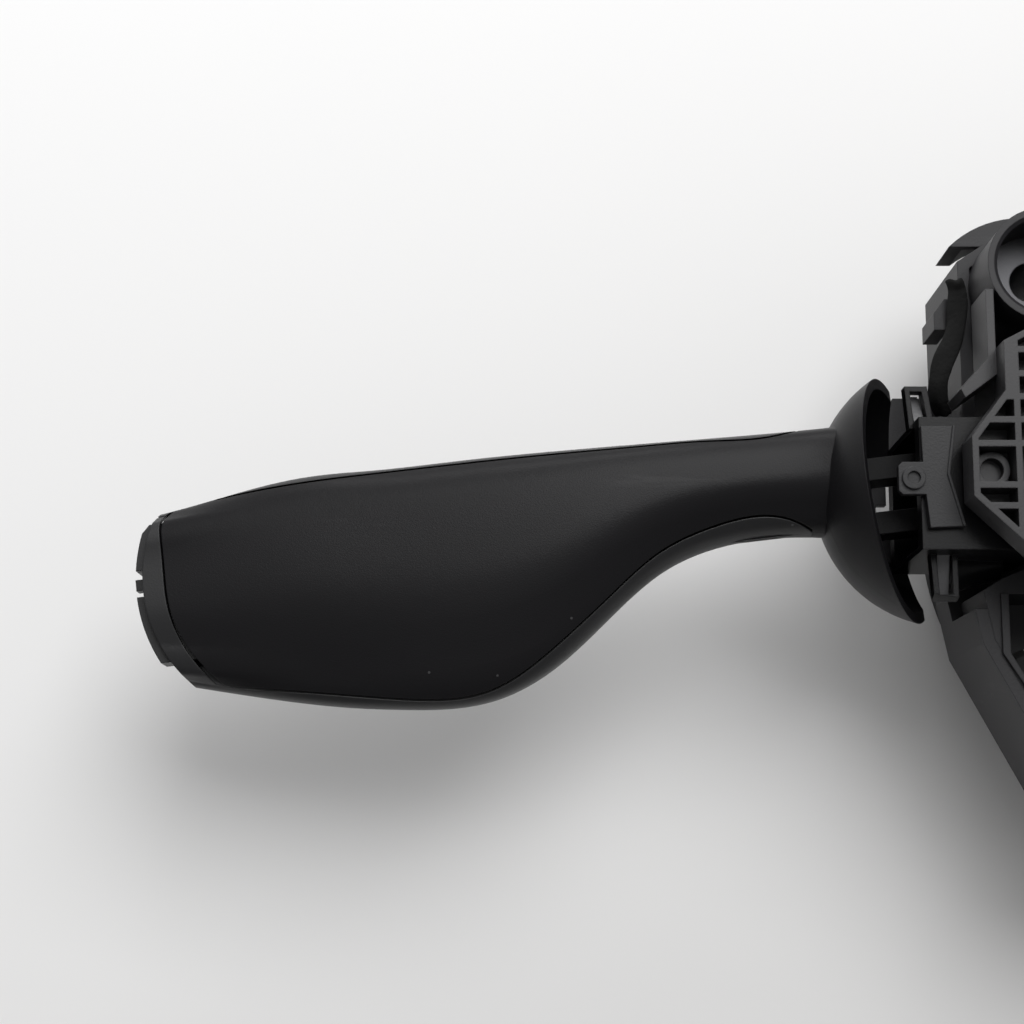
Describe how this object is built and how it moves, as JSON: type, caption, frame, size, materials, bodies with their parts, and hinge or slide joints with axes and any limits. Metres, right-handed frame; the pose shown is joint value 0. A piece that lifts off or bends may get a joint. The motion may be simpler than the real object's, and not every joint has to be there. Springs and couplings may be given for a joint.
{
  "type": "combination stalk switch",
  "caption": "Steering column switch module: sprung side levers on gimbals, tip rocker and push button, clock spring with steering angle gears and a ribbed rear bracket.",
  "frame": {"origin": "on the steering column axis, in the plane of the front rim of the clock spring case, which the module rests on", "axes": "+Z along the column from the front rim to the rear bracket, +X towards the right lever, +Y towards the mounting towers"},
  "size_m": [0.3616, 0.116, 0.066],
  "materials": {
    "housing_black": "fine grain",
    "bracket_black": "satin",
    "rotor_black": "fine grain",
    "header_black": "satin",
    "gloss_black": "glossy",
    "retainer_grey": "matt",
    "catch_grey": "grained",
    "soft_black": "soft touch",
    "frame_black": "satin",
    "core_black": "satin",
    "gear_white": "natural",
    "felt": "felt",
    "steel": "plain",
    "contact_tin": "tinned",
    "board_green": "solder mask",
    "cable_film": "film"
  },
  "bodies": {
    "housing": {"clock_spring_case": "housing_black", "flat_cable": "cable_film", "sensor_board": "board_green", "switch_carrier": "housing_black", "column_bracket": "bracket_black", "bracket_screws": "steel", "tower_sleeves": "steel", "connector_header": "header_black", "connector_pins": "contact_tin", "left_switch_body": "gloss_black", "left_retainer": "retainer_grey", "left_snap_wedges": "catch_grey", "left_detent_block": "gear_white", "left_felt_strip": "felt", "left_latch": "header_black", "right_switch_body": "gloss_black", "right_retainer": "retainer_grey", "right_snap_wedges": "catch_grey", "right_detent_block": "gear_white", "right_felt_strip": "felt", "right_latch": "header_black"},
    "rotor": {"clock_spring_rotor": "rotor_black", "rotor_socket": "rotor_black", "code_gear": "gear_white"},
    "gear_a": {"measuring_gear_a": "gear_white"},
    "gear_b": {"measuring_gear_b": "gear_white"},
    "left_gimbal": {"left_gimbal_block": "core_black", "left_cross_pin": "steel"},
    "left_lever": {"left_lever_core": "core_black", "left_rear_cover": "soft_black", "left_mid_frame": "frame_black", "left_front_cover": "soft_black", "left_tip_switch": "core_black"},
    "left_plunger": {"left_detent_plunger": "gear_white"},
    "left_rocker": {"left_tip_rocker": "frame_black"},
    "left_button": {"left_tip_button": "frame_black"},
    "right_gimbal": {"right_gimbal_block": "core_black", "right_cross_pin": "steel"},
    "right_lever": {"right_lever_core": "core_black", "right_rear_cover": "soft_black", "right_mid_frame": "frame_black", "right_front_cover": "soft_black", "right_tip_switch": "core_black"},
    "right_plunger": {"right_detent_plunger": "gear_white"},
    "right_rocker": {"right_tip_rocker": "frame_black"},
    "right_button": {"right_tip_button": "frame_black"}
  },
  "joints": [
    {"name": "rotor_turn", "type": "hinge", "parent": "housing", "child": "rotor", "pos_m": [0, 0, 0.01], "axis": [0, 0, 1], "range_deg": [-900, 900]},
    {"name": "gear_a_turn", "type": "hinge", "parent": "housing", "child": "gear_a", "pos_m": [-0.01139, 0.02819, 0.0243], "axis": [0, 0, 1], "range_deg": [-3375, 3375]},
    {"name": "gear_b_turn", "type": "hinge", "parent": "housing", "child": "gear_b", "pos_m": [0.01169, 0.02893, 0.0243], "axis": [0, 0, 1], "range_deg": [-3000, 3000]},
    {"name": "left_sweep", "type": "hinge", "parent": "housing", "child": "left_gimbal", "pos_m": [-0.0497, 0, 0.044], "axis": [0, 0, 1], "range_deg": [-12, 12], "stiffness_Nm_per_rad": 3},
    {"name": "left_pull", "type": "hinge", "parent": "left_gimbal", "child": "left_lever", "pos_m": [-0.0497, 0, 0.044], "axis": [-0.1184, 0.993, 0], "range_deg": [-5, 5], "stiffness_Nm_per_rad": 8},
    {"name": "left_detent", "type": "slide", "parent": "left_lever", "child": "left_plunger", "axis": [-0.993, -0.1184, 0], "range_m": [0, 0.0006], "stiffness_N_per_m": 1200},
    {"name": "left_rock", "type": "hinge", "parent": "left_lever", "child": "left_rocker", "pos_m": [-0.16737, -0.01403, 0.044], "axis": [0, 0, 1], "range_deg": [-3, 3], "stiffness_Nm_per_rad": 0.4},
    {"name": "left_push", "type": "slide", "parent": "left_lever", "child": "left_button", "axis": [0.993, 0.1184, 0], "range_m": [0, 0.0009], "stiffness_N_per_m": 1500},
    {"name": "right_sweep", "type": "hinge", "parent": "housing", "child": "right_gimbal", "pos_m": [0.0497, 0, 0.044], "axis": [0, 0, 1], "range_deg": [-12, 12], "stiffness_Nm_per_rad": 3},
    {"name": "right_pull", "type": "hinge", "parent": "right_gimbal", "child": "right_lever", "pos_m": [0.0497, 0, 0.044], "axis": [0.1184, 0.993, 0], "range_deg": [-5, 5], "stiffness_Nm_per_rad": 8},
    {"name": "right_detent", "type": "slide", "parent": "right_lever", "child": "right_plunger", "axis": [0.993, -0.1184, 0], "range_m": [0, 0.0006], "stiffness_N_per_m": 1200},
    {"name": "right_rock", "type": "hinge", "parent": "right_lever", "child": "right_rocker", "pos_m": [0.16737, -0.01403, 0.044], "axis": [0, 0, 1], "range_deg": [-3, 3], "stiffness_Nm_per_rad": 0.4},
    {"name": "right_push", "type": "slide", "parent": "right_lever", "child": "right_button", "axis": [-0.993, 0.1184, 0], "range_m": [0, 0.0009], "stiffness_N_per_m": 1500}
  ],
  "couplings": [
    {"joint": "gear_a_turn", "follows": "rotor_turn", "ratio": -3.75},
    {"joint": "gear_b_turn", "follows": "rotor_turn", "ratio": -3.3333}
  ]
}
